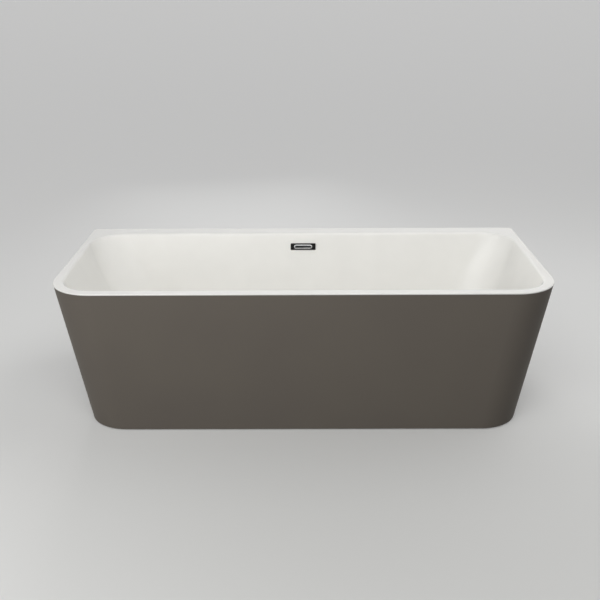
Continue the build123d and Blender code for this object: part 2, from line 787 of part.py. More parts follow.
lower_gasket -= cylinder_between(hole_radius, waste_top_z - cut_overrun, under_z + cut_overrun)
lower_gasket = drain * lower_gasket

collar_low_z = waste_top_z - collar_height
cup_floor_z = collar_low_z - cup_height
cup_low_z = cup_floor_z - cup_wall
neck_low_z = cup_low_z - neck_length
stub_z = cup_floor_z + cup_height / 2
stub_bore = hose_radius - stub_wall
waste_body = cylinder_between(waste_flange_radius, waste_top_z - waste_flange_thickness, waste_top_z)
waste_body += cylinder_between(cup_radius, cup_low_z, waste_top_z)
waste_body += cylinder_between(neck_radius, neck_low_z, cup_low_z)
stub = Pos(0, stub_reach / 2, stub_z) * Rot(-90, 0, 0) * Cylinder(hose_radius, stub_reach)
waste_body += stub
waste_body -= cylinder_between(sleeve_radius + running_clearance, collar_low_z, waste_top_z + cut_overrun)
waste_body -= cylinder_between(cup_radius - cup_wall, cup_floor_z, collar_low_z)
waste_body -= cylinder_between(neck_radius - neck_wall, neck_low_z - cut_overrun, cup_floor_z)
waste_body -= Pos(0, (stub_reach + cut_overrun) / 2, stub_z) * Rot(-90, 0, 0) * Cylinder(
    stub_bore, stub_reach + cut_overrun
)
waste_body = drain * waste_body

# Overflow hose, held by a nut at each end
stub_end_y = drain_y + stub_reach
hose_route = FilletPolyline(
    (0, spigot_y, spigot_low_z), (0, spigot_y, stub_z), (0, stub_end_y, stub_z), radius=hose_bend
)
hose_section = Plane(origin=(0, spigot_y, spigot_low_z), z_dir=(0, 0, -1)) * (
    Circle(hose_radius) - Circle(hose_radius - hose_wall)
)
hose = sweep(hose_section, path=hose_route)


def grip_nut(radius, sides, bore, span):
    """Many-sided plastic nut on the Z axis, standing on z = 0."""
    return extrude(RegularPolygon(radius, sides), span) - cylinder_between(bore, -cut_overrun, span + cut_overrun)


hose_nut = grip_nut(hose_nut_radius, hose_nut_sides, hose_radius + running_clearance, hose_nut_length)
hose_nut_upper = Pos(0, spigot_y, spigot_low_z - hose_nut_length / 2) * hose_nut
hose_nut_lower = Pos(0, stub_end_y - hose_nut_length / 2, stub_z) * Rot(-90, 0, 0) * hose_nut

# Trap: a drum on the dip tube that swivels about the drain, its nut, and the outlet pipe
trap_nut_top_z = cup_low_z - nut_neck_gap
trap_nut_low_z = trap_nut_top_z - trap_nut_height
trap_top_z = trap_nut_low_z - trap_collar_height
trap_low_z = trap_top_z - trap_height
neck_bore = neck_radius + running_clearance
trap_nut = drain * Pos(0, 0, trap_nut_low_z) * grip_nut(
    trap_nut_radius, trap_nut_sides, neck_bore, trap_nut_height
)
outlet_z = trap_top_z - outlet_drop
drum = cylinder_between(trap_radius, trap_low_z, trap_top_z)
drum = fillet(drum.edges().filter_by(GeomType.CIRCLE), trap_edge_radius)
drum += cylinder_between(trap_collar_radius, trap_top_z, trap_nut_low_z)
drum += Pos(0, outlet_reach / 2, outlet_z) * Rot(-90, 0, 0) * Cylinder(outlet_radius, outlet_reach)
drum_hollow = cylinder_between(trap_radius - trap_wall, trap_low_z + trap_wall, trap_top_z - trap_wall)
drum -= fillet(drum_hollow.edges().filter_by(GeomType.CIRCLE), trap_edge_radius - trap_wall)
drum -= cylinder_between(neck_bore, trap_top_z - 2 * trap_wall, trap_nut_low_z + cut_overrun)
drum -= Pos(0, (outlet_reach + cut_overrun) / 2, outlet_z) * Rot(-90, 0, 0) * Cylinder(
    pipe_spigot_radius + running_clearance, outlet_reach + cut_overrun
)
trap_body = drain * drum
outlet_start_y = drain_y + outlet_reach
outlet_end_y = half_width - pipe_wall_gap
outlet_nut = Pos(0, outlet_start_y - outlet_nut_length, outlet_z) * Rot(-90, 0, 0) * grip_nut(
    outlet_nut_radius, outlet_nut_sides, outlet_radius + running_clearance, outlet_nut_length
)
pipe_section = Circle(pipe_radius) - Circle(pipe_radius - pipe_wall)
spigot_section = Circle(pipe_spigot_radius) - Circle(pipe_spigot_radius - pipe_wall)
pipe_start_y = outlet_start_y + pipe_relief
spigot_reach = pipe_spigot_length + pipe_relief + pipe_wall
outlet_pipe = Pos(0, pipe_start_y, 0) * Rot(-90, 0, 0) * extrude(pipe_section, outlet_end_y - pipe_start_y)
outlet_pipe += Pos(0, outlet_start_y - pipe_spigot_length, 0) * Rot(-90, 0, 0) * extrude(
    spigot_section, spigot_reach
)
outlet_pipe = Pos(0, 0, outlet_z) * outlet_pipe

# Drain plug: lifts off the waste flange on its stem
seal_high_z = flange_high_z + seal_thickness
plug_high_z = seal_high_z + plug_thickness
plug_cap = cylinder_between(plug_radius, seal_high_z, plug_high_z)
plug_cap = fillet(plug_cap.edges().sort_by(Axis.Z)[-1], plug_edge_radius)
plug_seal = cylinder_between(seal_outer_radius, flange_high_z, seal_high_z)
plug_seal -= cylinder_between(seal_inner_radius, flange_high_z - cut_overrun, seal_high_z + cut_overrun)
plug_stem = cylinder_between(stem_radius, seal_high_z - stem_length, seal_high_z)
plug_cap = drain * plug_cap
plug_seal = drain * plug_seal
plug_stem = drain * plug_stem

pieces = {
    "tub_shell": shell,
    "outer_skirt": skirt,
    "rim_batten_front": batten_front,
    "rim_batten_rear": batten_rear,
    "base_board": board,
    "frame_rail_front": rail_front,
    "frame_rail_rear_left": rail_rear_left,
    "frame_rail_rear_right": rail_rear_right,
    "rail_end_caps": Compound(children=end_caps),
    "lock_nuts": Compound(children=lock_nuts),
    "board_screws": Compound(children=board_screws),
    "bracket_screws": Compound(children=bracket_screws),
    "batten_screws": Compound(children=batten_screws),
    "skirt_clips": Compound(children=clips),
    "overflow_plate": plate,
    "overflow_bezel": bezel,
    "overflow_gasket": gasket,
    "overflow_body": overflow_body,
    "overflow_hose": hose,
    "hose_nut_upper": hose_nut_upper,
    "hose_nut_lower": hose_nut_lower,
    "waste_flange": waste_flange,
    "waste_gasket_upper": upper_gasket,
    "waste_gasket_lower": lower_gasket,
    "waste_body": waste_body,
    "trap_nut": trap_nut,
    "trap_body": trap_body,
    "outlet_nut": outlet_nut,
    "outlet_pipe": outlet_pipe,
    "plug_cap": plug_cap,
    "plug_seal": plug_seal,
    "plug_stem": plug_stem,
}
pieces.update(crosses)
pieces.update(brackets)
pieces.update(wall_brackets)
for number, (place_x, place_y) in enumerate(foot_places, start=1):
    pieces[f"foot_stud_{number}"] = Pos(place_x, place_y, 0) * stud
    pieces[f"foot_pad_{number}"] = Pos(place_x, place_y, 0) * pad

os.makedirs("parts", exist_ok=True)
for name, piece in pieces.items():
    export_step(piece, f"parts/{name}.step")
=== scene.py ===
import json
from math import atan2, ceil, cos, pi, radians, sin, tan

import bmesh
import bpy
from mathutils import Matrix, Vector


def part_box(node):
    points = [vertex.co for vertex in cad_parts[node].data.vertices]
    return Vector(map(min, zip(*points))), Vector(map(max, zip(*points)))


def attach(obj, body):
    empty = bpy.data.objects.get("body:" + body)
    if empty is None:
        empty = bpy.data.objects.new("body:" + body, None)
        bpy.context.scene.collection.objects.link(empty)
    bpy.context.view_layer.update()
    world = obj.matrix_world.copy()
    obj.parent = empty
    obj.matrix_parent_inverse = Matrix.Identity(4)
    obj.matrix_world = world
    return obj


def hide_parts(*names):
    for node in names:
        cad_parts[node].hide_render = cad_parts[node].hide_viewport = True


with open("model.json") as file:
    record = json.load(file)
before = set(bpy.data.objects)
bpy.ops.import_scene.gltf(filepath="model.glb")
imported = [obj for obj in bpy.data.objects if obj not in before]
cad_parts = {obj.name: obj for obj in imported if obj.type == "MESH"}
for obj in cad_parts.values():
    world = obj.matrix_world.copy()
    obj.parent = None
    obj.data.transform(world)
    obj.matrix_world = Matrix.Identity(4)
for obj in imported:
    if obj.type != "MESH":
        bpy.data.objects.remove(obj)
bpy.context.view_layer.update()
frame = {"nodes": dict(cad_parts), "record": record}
nodes = frame["nodes"]
slot_of = {part["node"]: part["material_slot"] for part in frame["record"]["subparts"]}


# Node trees

def linear(hex_code):
    """An sRGB hex colour as linear RGBA."""
    parts = [int(hex_code[place:place + 2], 16) / 255 for place in (1, 3, 5)]
    parts = [part / 12.92 if part <= 0.04045 else ((part + 0.055) / 1.055) ** 2.4 for part in parts]
    return (*parts, 1.0)


def add(tree, kind, out=None, settings=None, inputs=None, stops=()):
    """Adds a node with its settings, its inputs, each a value or another node's output, and a ramp's
    stops, each a place and a hex colour. Gives back the output that is named, or else the node."""
    node = tree.nodes.new(kind)
    for name, value in (settings or {}).items():
        setattr(node, name, value)
    feed(tree, node, inputs or {})
    while stops and len(node.color_ramp.elements) < len(stops):
        node.color_ramp.elements.new(1.0)
    for number, (place, hex_code) in enumerate(stops):
        node.color_ramp.elements[number].position = place
        node.color_ramp.elements[number].color = linear(hex_code)
    return node.outputs[out] if out else node


def feed(tree, node, inputs):
    """Gives a node's inputs their values, or links them to other nodes' outputs."""
    for name, value in inputs.items():
        socket = node.inputs[name]
        if isinstance(value, bpy.types.NodeSocket):
            tree.links.new(value, socket)
        else:
            socket.default_value = value


def new_finish(name):
    """A new material, its tree, its shader and its place coordinates, which are in metres."""
    material = bpy.data.materials.new(name)
    material.use_nodes = True
    tree = material.node_tree
    tree.nodes.clear()
    shader = add(tree, "ShaderNodeBsdfPrincipled")
    add(tree, "ShaderNodeOutputMaterial", inputs={"Surface": shader.outputs["BSDF"]})
    place = add(tree, "ShaderNodeTexCoord", "Object")
    return material, tree, shader, place


def cells_per(size):
    """Texture scale that makes one cell as large as a real size, for coordinates in metres."""
    return 1 / size


def waves_per(size):
    """Scale that makes one wave as long as a real size; a wave texture has 20 radians to the unit."""
    return 2 * pi / (20 * size)


def outward(tree, place):
    """How far a face looks away from the tub's upright middle line, in metres, and the face's normal."""
    normal = add(tree, "ShaderNodeNewGeometry", "True Normal")
    level_place = add(tree, "ShaderNodeVectorMath", "Vector", {"operation": "MULTIPLY"}, {
        0: place, 1: (1, 1, 0),
    })
    away = add(tree, "ShaderNodeVectorMath", "Value", {"operation": "DOT_PRODUCT"}, {
        0: level_place, 1: normal,
    })
    return away, normal


# Strands are about 60 mm by 1 mm, drawn 2.5 mm wide so that they show
strand_length = 0.06
strand_width = 0.0025
strand_relief = 0.0016
thin_lines = ((0.3, 0.2, 0.93), (0.9, 0.3, -0.3), (-0.5, 0.7, 0.5), (0.6, -0.7, 0.4))


def glass_fibre(tree, place):
    """Colour and height of chopped glass strands in resin, laid by hand."""
    # The strands lie every way, so four noises cross, each thin along one line
    noises = []
    for thin in thin_lines:
        turned = add(tree, "ShaderNodeMapping", "Vector", {"vector_type": "TEXTURE"}, {
            "Vector": place,
            "Rotation": Vector(thin).to_track_quat("Z", "Y").to_euler(),
            "Scale": (strand_length, strand_length, strand_width),
        })
        noises.append(add(tree, "ShaderNodeTexNoise", "Fac", inputs={
            "Vector": turned, "Scale": 1.0, "Detail": 2.0, "Roughness": 0.5,
        }))
    strands = noises[0]
    for noise in noises[1:]:
        strands = add(tree, "ShaderNodeMath", "Value", {"operation": "MAXIMUM"}, {0: strands, 1: noise})
    colour = add(tree, "ShaderNodeValToRGB", "Color", inputs={"Fac": strands}, stops=(
        (0.5, "#A9A188"), (0.6, "#BFB89F"), (0.72, "#D6D1BE"),
    ))
    return colour, strands


def backed_with_fibre(tree, shader, place, hidden, colour, face_normal):
    """Gives a shader its colour and relief, and those of raw glass fibre where the face is hidden."""
    fibre, strands = glass_fibre(tree, place)
    fibre_normal = add(tree, "ShaderNodeBump", "Normal", inputs={
        "Distance": strand_relief, "Height": strands,
    })
    feed(tree, shader, {
        "Base Color": add(tree, "ShaderNodeMix", "Result", {"data_type": "RGBA"}, {
            "Factor": hidden, "A": colour, "B": fibre,
        }),
        "Normal": add(tree, "ShaderNodeMix", "Result", {"data_type": "VECTOR"}, {
            "Factor": hidden, "A": face_normal, "B": fibre_normal,
        }),
    })


# Finishes

# The shell's fibre lies on what looks outwards or down, below the level of the rim's underside. The
# recess round the drain also looks outwards, but from no further than 67 mm off the middle line
rim_underside = 0.5652
drain_recess = 0.07
facing_down = -0.6
facing_inwards = -0.02


def vacuum_formed_acrylic():
    """Cast acrylic sheet, vacuum formed: an even white gloss, with rough glass fibre on its hidden side."""
    material, tree, shader, place = new_finish("vacuum_formed_acrylic")
    away, normal = outward(tree, place)
    level = add(tree, "ShaderNodeSeparateXYZ", "Z", inputs={"Vector": place})
    facing = add(tree, "ShaderNodeSeparateXYZ", "Z", inputs={"Vector": normal})
    below = add(tree, "ShaderNodeMath", "Value", {"operation": "LESS_THAN"}, {0: level, 1: rim_underside})
    outer = add(tree, "ShaderNodeMath", "Value", {"operation": "GREATER_THAN"}, {0: away, 1: drain_recess})
    under = add(tree, "ShaderNodeMath", "Value", {"operation": "LESS_THAN"}, {0: facing, 1: facing_down})
    hidden = add(tree, "ShaderNodeMath", "Value", {"operation": "MAXIMUM"}, {0: outer, 1: under})
    hidden = add(tree, "ShaderNodeMath", "Value", {"operation": "MULTIPLY"}, {0: hidden, 1: below})
    # The forming mould leaves a faint swell some 90 mm across that only shows in reflections
    swell = add(tree, "ShaderNodeTexNoise", "Fac", inputs={
        "Vector": place, "Scale": cells_per(0.09), "Detail": 1.0,
    })
    white = add(tree, "ShaderNodeValToRGB", "Color", inputs={"Fac": swell}, stops=(
        (0.3, "#F0EFEB"), (0.7, "#F2F1ED"),
    ))
    gloss_normal = add(tree, "ShaderNodeBump", "Normal", inputs={"Distance": 0.00012, "Height": swell})
    backed_with_fibre(tree, shader, place, hidden, white, gloss_normal)
    feed(tree, shader, {
        "Roughness": add(tree, "ShaderNodeMapRange", "Result", inputs={
            "Value": hidden, "To Min": 0.17, "To Max": 0.62,
        }),
        "IOR": 1.49,
        "Specular IOR Level": 0.3,
    })
    return material


def matt_lacquered_panel():
    """Matt taupe lacquer over a moulded panel: a soft even sheen, and raw laminate on its inner side."""
    material, tree, shader, place = new_finish("matt_lacquered_panel")
    away, normal = outward(tree, place)
    inner = add(tree, "ShaderNodeMath", "Value", {"operation": "LESS_THAN"}, {0: away, 1: facing_inwards})
    # Sprayed lacquer has a grain of about half a millimetre, drawn at 2 mm so that it shows
    grain = add(tree, "ShaderNodeTexNoise", "Fac", inputs={
        "Vector": place, "Scale": cells_per(0.002), "Detail": 2.0,
    })
    cloud = add(tree, "ShaderNodeTexNoise", "Fac", inputs={
        "Vector": place, "Scale": cells_per(0.35), "Detail": 2.0,
    })
    taupe = add(tree, "ShaderNodeValToRGB", "Color", inputs={"Fac": cloud}, stops=(
        (0.3, "#67615A"), (0.7, "#6A645C"),
    ))
    outer_normal = add(tree, "ShaderNodeBump", "Normal", inputs={"Distance": 0.00006, "Height": grain})
    backed_with_fibre(tree, shader, place, inner, taupe, outer_normal)
    feed(tree, shader, {
        "Roughness": add(tree, "ShaderNodeMapRange", "Result", inputs={
            "Value": grain, "To Min": 0.56, "To Max": 0.66,
        }),
        "IOR": 1.45,
        "Specular IOR Level": 0.3,
    })
    return material


def planed_spruce():
    """Planed spruce: pale straw with darker late wood in lines along the bar."""
    material, tree, shader, place = new_finish("planed_spruce")
    # Growth rings are 3 to 4 mm apart, drawn 5 mm apart so that they show. They run the length of the
    # bar and wander by up to 20 mm over some 170 mm
    warp = add(tree, "ShaderNodeTexNoise", "Color", inputs={
        "Vector": place, "Scale": cells_per(0.16667), "Detail": 2.0,
    })
    warp = add(tree, "ShaderNodeVectorMath", "Vector", {"operation": "SCALE"}, {0: warp, "Scale": 0.02})
    along = add(tree, "ShaderNodeMapping", "Vector", inputs={"Vector": place, "Scale": (0.04, 1, 1)})
    along = add(tree, "ShaderNodeVectorMath", "Vector", {"operation": "ADD"}, {0: along, 1: warp})
    rings = add(tree, "ShaderNodeTexWave", "Fac", {"wave_type": "RINGS", "rings_direction": "X"}, {
        "Vector": along, "Scale": waves_per(0.005067), "Distortion": 1.2, "Detail": 2.0,
    })
    # Streaks of fibre run some 80 mm; real ones are finer than 1.1 mm, drawn that wide so that they show
    across = cells_per(0.0011111)
    fibres = add(tree, "ShaderNodeMapping", "Vector", inputs={
        "Vector": place, "Scale": (cells_per(0.08333), across, across),
    })
    fibre = add(tree, "ShaderNodeTexNoise", "Fac", inputs={"Vector": fibres, "Scale": 1.0, "Detail": 3.0})
    tone = add(tree, "ShaderNodeMath", "Value", {"operation": "MULTIPLY_ADD"}, {0: fibre, 1: 0.35, 2: rings})
    feed(tree, shader, {
        "Base Color": add(tree, "ShaderNodeValToRGB", "Color", inputs={"Fac": tone}, stops=(
            (0.15, "#CBAA79"), (0.8, "#BF9C6A"), (1.0, "#A67E50"),
        )),
        "Normal": add(tree, "ShaderNodeBump", "Normal", inputs={"Distance": 0.0002, "Height": fibre}),
        "Roughness": 0.62,
        "IOR": 1.5,
    })
    return material


def resin_sealed_chipboard():
    """Chipboard brushed with resin: flat chips of several browns under a thin uneven shine."""
    material, tree, shader, place = new_finish("resin_sealed_chipboard")
    # Chips are about 6 mm across, and the resin pools over some 50 mm
    chips = add(tree, "ShaderNodeTexVoronoi", inputs={"Vector": place, "Scale": cells_per(0.006)})
    chip = add(tree, "ShaderNodeSeparateXYZ", "X", inputs={"Vector": chips.outputs["Color"]})
    pool = add(tree, "ShaderNodeTexNoise", "Fac", inputs={
        "Vector": place, "Scale": cells_per(0.05), "Detail": 3.0,
    })
    feed(tree, shader, {
        "Base Color": add(tree, "ShaderNodeValToRGB", "Color", inputs={"Fac": chip}, stops=(
            (0.0, "#8C6C42"), (0.5, "#B08D5C"), (1.0, "#CDB07F"),
        )),
        "Roughness": add(tree, "ShaderNodeMapRange", "Result", inputs={
            "Value": pool, "To Min": 0.25, "To Max": 0.7,
        }),
        "Normal": add(tree, "ShaderNodeBump", "Normal", inputs={
            "Distance": 0.0003, "Height": chips.outputs["Distance"],
        }),
        "IOR": 1.5,
    })
    return material


def powder_coated_steel():
    """Powder-coated mild steel: dark grey with the fine orange peel that baked powder leaves."""
    material, tree, shader, place = new_finish("powder_coated_steel")
    # Real peel is about 1.5 mm across
    peel = add(tree, "ShaderNodeTexNoise", "Fac", inputs={
        "Vector": place, "Scale": cells_per(0.0015), "Detail": 1.0,
    })
    dust = add(tree, "ShaderNodeTexNoise", "Fac", inputs={
        "Vector": place, "Scale": cells_per(0.12), "Detail": 4.0,
    })
    feed(tree, shader, {
        "Base Color": add(tree, "ShaderNodeValToRGB", "Color", inputs={"Fac": dust}, stops=(
            (0.35, "#34373A"), (0.75, "#414447"),
        )),
        "Roughness": add(tree, "ShaderNodeMapRange", "Result", inputs={
            "Value": dust, "To Min": 0.38, "To Max": 0.55,
        }),
        "Normal": add(tree, "ShaderNodeBump", "Normal", inputs={"Distance": 0.00012, "Height": peel}),
        "IOR": 1.5,
    })
    return material


def zinc_plated_steel():
    """Bright zinc plate on steel: silver with patches of blue and straw passivation."""
    material, tree, shader, place = new_finish("zinc_plated_steel")
    # Patches are about 14 mm across; scuffs are finer than 1.2 mm, drawn that wide so that they show
    patch = add(tree, "ShaderNodeTexNoise", "Fac", inputs={
        "Vector": place, "Scale": cells_per(0.014), "Detail": 3.0,
    })
    scuff = add(tree, "ShaderNodeTexNoise", "Fac", inputs={
        "Vector": place, "Scale": cells_per(0.0012), "Detail": 2.0,
    })
    feed(tree, shader, {
        "Base Color": add(tree, "ShaderNodeValToRGB", "Color", inputs={"Fac": patch}, stops=(
            (0.3, "#B9BEC4"), (0.5, "#C6C7C5"), (0.72, "#CCC5AE"),
        )),
        "Roughness": add(tree, "ShaderNodeMapRange", "Result", inputs={
            "Value": scuff, "To Min": 0.26, "To Max": 0.42,
        }),
        "Normal": add(tree, "ShaderNodeBump", "Normal", inputs={"Distance": 0.00003, "Height": scuff}),
        "Metallic": 1.0,
    })
    return material


def moulded_polymer(name, dark, light, roughness, grain_depth, specular=0.5):
    """Injection-moulded polymer: one tone with the grain of a spark-eroded mould."""
    material, tree, shader, place = new_finish(name)
    # Mould grain is about 0.4 mm, drawn at 1 mm so that it shows
    grain = add(tree, "ShaderNodeTexNoise", "Fac", inputs={
        "Vector": place, "Scale": cells_per(0.001), "Detail": 2.0,
    })
    flow = add(tree, "ShaderNodeTexNoise", "Fac", inputs={
        "Vector": place, "Scale": cells_per(0.03), "Detail": 2.0,
    })
    feed(tree, shader, {
        "Base Color": add(tree, "ShaderNodeValToRGB", "Color", inputs={"Fac": flow}, stops=(
            (0.3, dark), (0.7, light),
        )),
        "Roughness": add(tree, "ShaderNodeMapRange", "Result", inputs={
            "Value": grain, "To Min": roughness[0], "To Max": roughness[1],
        }),
        "Normal": add(tree, "ShaderNodeBump", "Normal", inputs={"Distance": grain_depth, "Height": grain}),
        "IOR": 1.5,
        "Specular IOR Level": specular,
    })
    return material


def polished_chrome_plate():
    """Chrome plate on polished brass: a clear mirror with faint wipe marks."""
    material, tree, shader, place = new_finish("polished_chrome_plate")
    wipe = add(tree, "ShaderNodeTexNoise", "Fac", inputs={
        "Vector": place, "Scale": cells_per(0.008), "Detail": 4.0,
    })
    feed(tree, shader, {
        "Base Color": add(tree, "ShaderNodeValToRGB", "Color", inputs={"Fac": wipe}, stops=(
            (0.3, "#D6D8DA"), (0.7, "#DEDFE0"),
        )),
        "Roughness": add(tree, "ShaderNodeMapRange", "Result", inputs={
            "Value": wipe, "To Min": 0.06, "To Max": 0.14,
        }),
        "Metallic": 1.0,
    })
    return material


def turned_brass():
    """Turned brass: yellow metal with the fine rings of the lathe tool."""
    material, tree, shader, place = new_finish("turned_brass")
    # Tool marks are 0.15 mm apart, drawn 1 mm apart so that they show
    rings = add(tree, "ShaderNodeTexWave", "Fac", {"wave_type": "BANDS", "bands_direction": "Z"}, {
        "Vector": place, "Scale": waves_per(0.000987), "Distortion": 0.3,
    })
    feed(tree, shader, {
        "Base Color": add(tree, "ShaderNodeValToRGB", "Color", inputs={"Fac": rings}, stops=(
            (0.0, "#B99653"), (1.0, "#CFAE6B"),
        )),
        "Normal": add(tree, "ShaderNodeBump", "Normal", inputs={"Distance": 0.00003, "Height": rings}),
        "Metallic": 1.0,
        "Roughness": 0.24,
    })
    return material


finishes = {
    "white_acrylic": vacuum_formed_acrylic(),
    "taupe_skirt": matt_lacquered_panel(),
    "timber": planed_spruce(),
    "sealed_board": resin_sealed_chipboard(),
    "coated_steel": powder_coated_steel(),
    "zinc_steel": zinc_plated_steel(),
    "black_plastic": moulded_polymer(
        "moulded_black_polypropylene", "#1A1B1D", "#222325", roughness=(0.38, 0.5), grain_depth=0.00008,
    ),
    "grey_plastic": moulded_polymer(
        "moulded_grey_polypropylene", "#A9ACAE", "#B4B7B8", roughness=(0.34, 0.46), grain_depth=0.00006,
    ),
    "black_gloss": moulded_polymer(
        "polished_black_abs", "#070708", "#09090A", roughness=(0.07, 0.1), grain_depth=0.000004,
        specular=0.25,
    ),
    "black_rubber": moulded_polymer(
        "moulded_epdm_rubber", "#141414", "#1B1B1B", roughness=(0.75, 0.85), grain_depth=0.00012,
    ),
    "chrome_trim": polished_chrome_plate(),
    "brass_stem": turned_brass(),
}
for name, node in nodes.items():
    node.data.materials.clear()
    node.data.materials.append(finishes[slot_of[name]])


# Modelling steps that the pieces share

weld_distance = 1e-6
cad_weld_distance = 1e-5
sharp_angle = radians(35)


def at(reach, level):
    """A move that keeps a corner's bearing round the upright axis and sets its reach from the axis and
    its level, each a number or a function of the bearing."""
    def move(corner):
        bearing = atan2(corner.y, corner.x)
        out = reach(bearing) if callable(reach) else reach
        up = level(bearing) if callable(level) else level
        return Vector((out * cos(bearing), out * sin(bearing), up))
    return move


def grow(bm, edges, move):
    """Extrudes a ring of edges and moves its new corners."""
    made = bmesh.ops.extrude_edge_only(bm, edges=edges)["geom"]
    for corner in made:
        if isinstance(corner, bmesh.types.BMVert):
            corner.co = move(corner.co)
    return [edge for edge in made if isinstance(edge, bmesh.types.BMEdge)]


def ringed(sides, profile):
    """A closed body built ring on ring; the profile's pairs of reach and level begin and end on the
    axis, or end where they began."""
    bm = bmesh.new()
    corners = bmesh.ops.create_circle(bm, radius=1.0, segments=sides)["verts"]
    # A ring on the axis has no bearings to grow from, so the first one comes last
    start = 1 if profile[0][0] == 0 else 0
    for corner in corners:
        corner.co = at(*profile[start])(corner.co)
    first = bm.edges[:]
    edges = first
    for pair in profile[start + 1:]:
        edges = grow(bm, edges, at(*pair))
    if start:
        grow(bm, first, at(*profile[0]))
    return bm


def copied(bm, matrices):
    """Puts a copy of the whole mesh at each place and takes the first one away."""
    first = bm.verts[:] + bm.edges[:] + bm.faces[:]
    corners = bm.verts[:]
    for matrix in matrices:
        made = bmesh.ops.duplicate(bm, geom=first)["geom"]
        new_corners = [item for item in made if isinstance(item, bmesh.types.BMVert)]
        bmesh.ops.transform(bm, matrix=matrix, verts=new_corners)
    bmesh.ops.delete(bm, geom=corners, context="VERTS")
    return bm


def join(bm, other):
    """Adds another bmesh's shape to a bmesh."""
    mesh = bpy.data.meshes.new("joined")
    other.to_mesh(mesh)
    bm.from_mesh(mesh)
    bpy.data.meshes.remove(mesh)


def finished(bm, name, slot, body, *stands_for):
    """Turns a bmesh into a piece with its finish, riding on a body."""
    bmesh.ops.remove_doubles(bm, verts=bm.verts, dist=weld_distance)
    bmesh.ops.recalc_face_normals(bm, faces=bm.faces)
    mesh = bpy.data.meshes.new(name)
    bm.to_mesh(mesh)
    bm.free()
    mesh.shade_smooth()
    mesh.set_sharp_from_angle(angle=sharp_angle)
    mesh.materials.append(finishes[slot])
    piece = bpy.data.objects.new(name, mesh)
    bpy.context.scene.collection.objects.link(piece)
    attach(piece, body)
    if stands_for:
        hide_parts(*stands_for)


def middle_of(node):
    """The middle of a node's box."""
    low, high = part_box(node)
    return (low + high) / 2


def solids_of(node):
    """Each separate solid of a node, as its corners' places."""
    bm = bmesh.new()
    bm.from_mesh(nodes[node].data)
    bmesh.ops.remove_doubles(bm, verts=bm.verts, dist=cad_weld_distance)
    waiting = set(bm.verts)
    while waiting:
        reached = [waiting.pop()]
        group = []
        while reached:
            corner = reached.pop()
            group.append(corner.co.copy())
            for edge in corner.link_edges:
                other = edge.other_vert(corner)
                if other in waiting:
                    waiting.remove(other)
                    reached.append(other)
        yield group
    bm.free()


def box_of(places):
    """The lowest and the highest of some places along each axis."""
    low = Vector([min(place[axis] for place in places) for axis in range(3)])
    high = Vector([max(place[axis] for place in places) for axis in range(3)])
    return low, high


# Overflow hose: corrugated, with a plain cuff at each end

hose_pitch = 0.0042
hose_ridge = 0.0017
hose_cuff = 0.014
hose_bend = 0.078
hose_wall = 0.0012
hose_sides = 32
bore_steps = 60
cuff_end_share = 0.3
# Places along one ridge, as shares of the pitch, and how much of the ridge stands there
ridge_shares = ((0.0, 0.0), (0.22, 1.0), (0.5, 1.0), (0.72, 0.0))


def corrugated_hose():
    """The hose runs down from the overflow, round one bend and forwards to the waste."""
    low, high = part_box("overflow_hose")
    crest = high.x
    valley = crest - hose_ridge
    bore = valley - hose_wall
    column_y = high.y - crest
    run_z = low.z + crest
    column = high.z - run_z - hose_bend
    arc = hose_bend * pi / 2
    run = column_y - hose_bend - low.y
    total = column + arc + run

    def station(along):
        """The hose's own frame at a distance along it."""
        turn = min(max((along - column) / hose_bend, 0.0), pi / 2)
        past = max(along - column - arc, 0.0)
        down = min(along, column)
        place = Vector((
            0.0,
            column_y - hose_bend + hose_bend * cos(turn) - past,
            high.z - down - hose_bend * sin(turn),
        ))
        return Matrix.Translation(place) @ Matrix.Rotation(-turn, 4, "X")

    def lay(edges, before, along, reach):
        """Extrudes the ring from one distance to another."""
        back = station(before).inverted()
        ahead = station(along)
        return grow(bm, edges, lambda corner: ahead @ at(reach, 0.0)(back @ corner))

    ridges = round((total - 2 * hose_cuff) / hose_pitch)
    pitch = (total - 2 * hose_cuff) / ridges
    stops = [(hose_cuff / 2, crest), (hose_cuff - cuff_end_share * pitch, crest)]
    for ridge in range(ridges):
        start = hose_cuff + ridge * pitch
        stops += [(start + share * pitch, crest if stands else valley) for share, stands in ridge_shares]
    stops += [(total - hose_cuff, crest), (total, crest), (total, bore)]
    stops += [(total * step / bore_steps, bore) for step in reversed(range(bore_steps))]
    stops.append((0.0, crest))
    bm = bmesh.new()
    bmesh.ops.create_circle(bm, radius=crest, segments=hose_sides, matrix=station(0.0))
    edges = bm.edges[:]
    here = 0.0
    for along, reach in stops:
        edges = lay(edges, here, along, reach)
        here = along
    finished(bm, "corrugated_overflow_hose", slot_of["overflow_hose"], "tub", "overflow_hose")


corrugated_hose()


# Union nuts: ribbed for the hand, with a plain collar

corners_per_rib = 4
rib_depth = 0.0016
nut_edge = 0.0012
nut_collar = 0.0045


def ribbed(count, crest):
    """Reach of a ribbed outline: two of the corners to a rib stand out and the others lie deeper."""
    def reach(bearing):
        step = round(bearing * corners_per_rib * count / (2 * pi))
        return crest if step % corners_per_rib < 2 else crest - rib_depth
    return reach


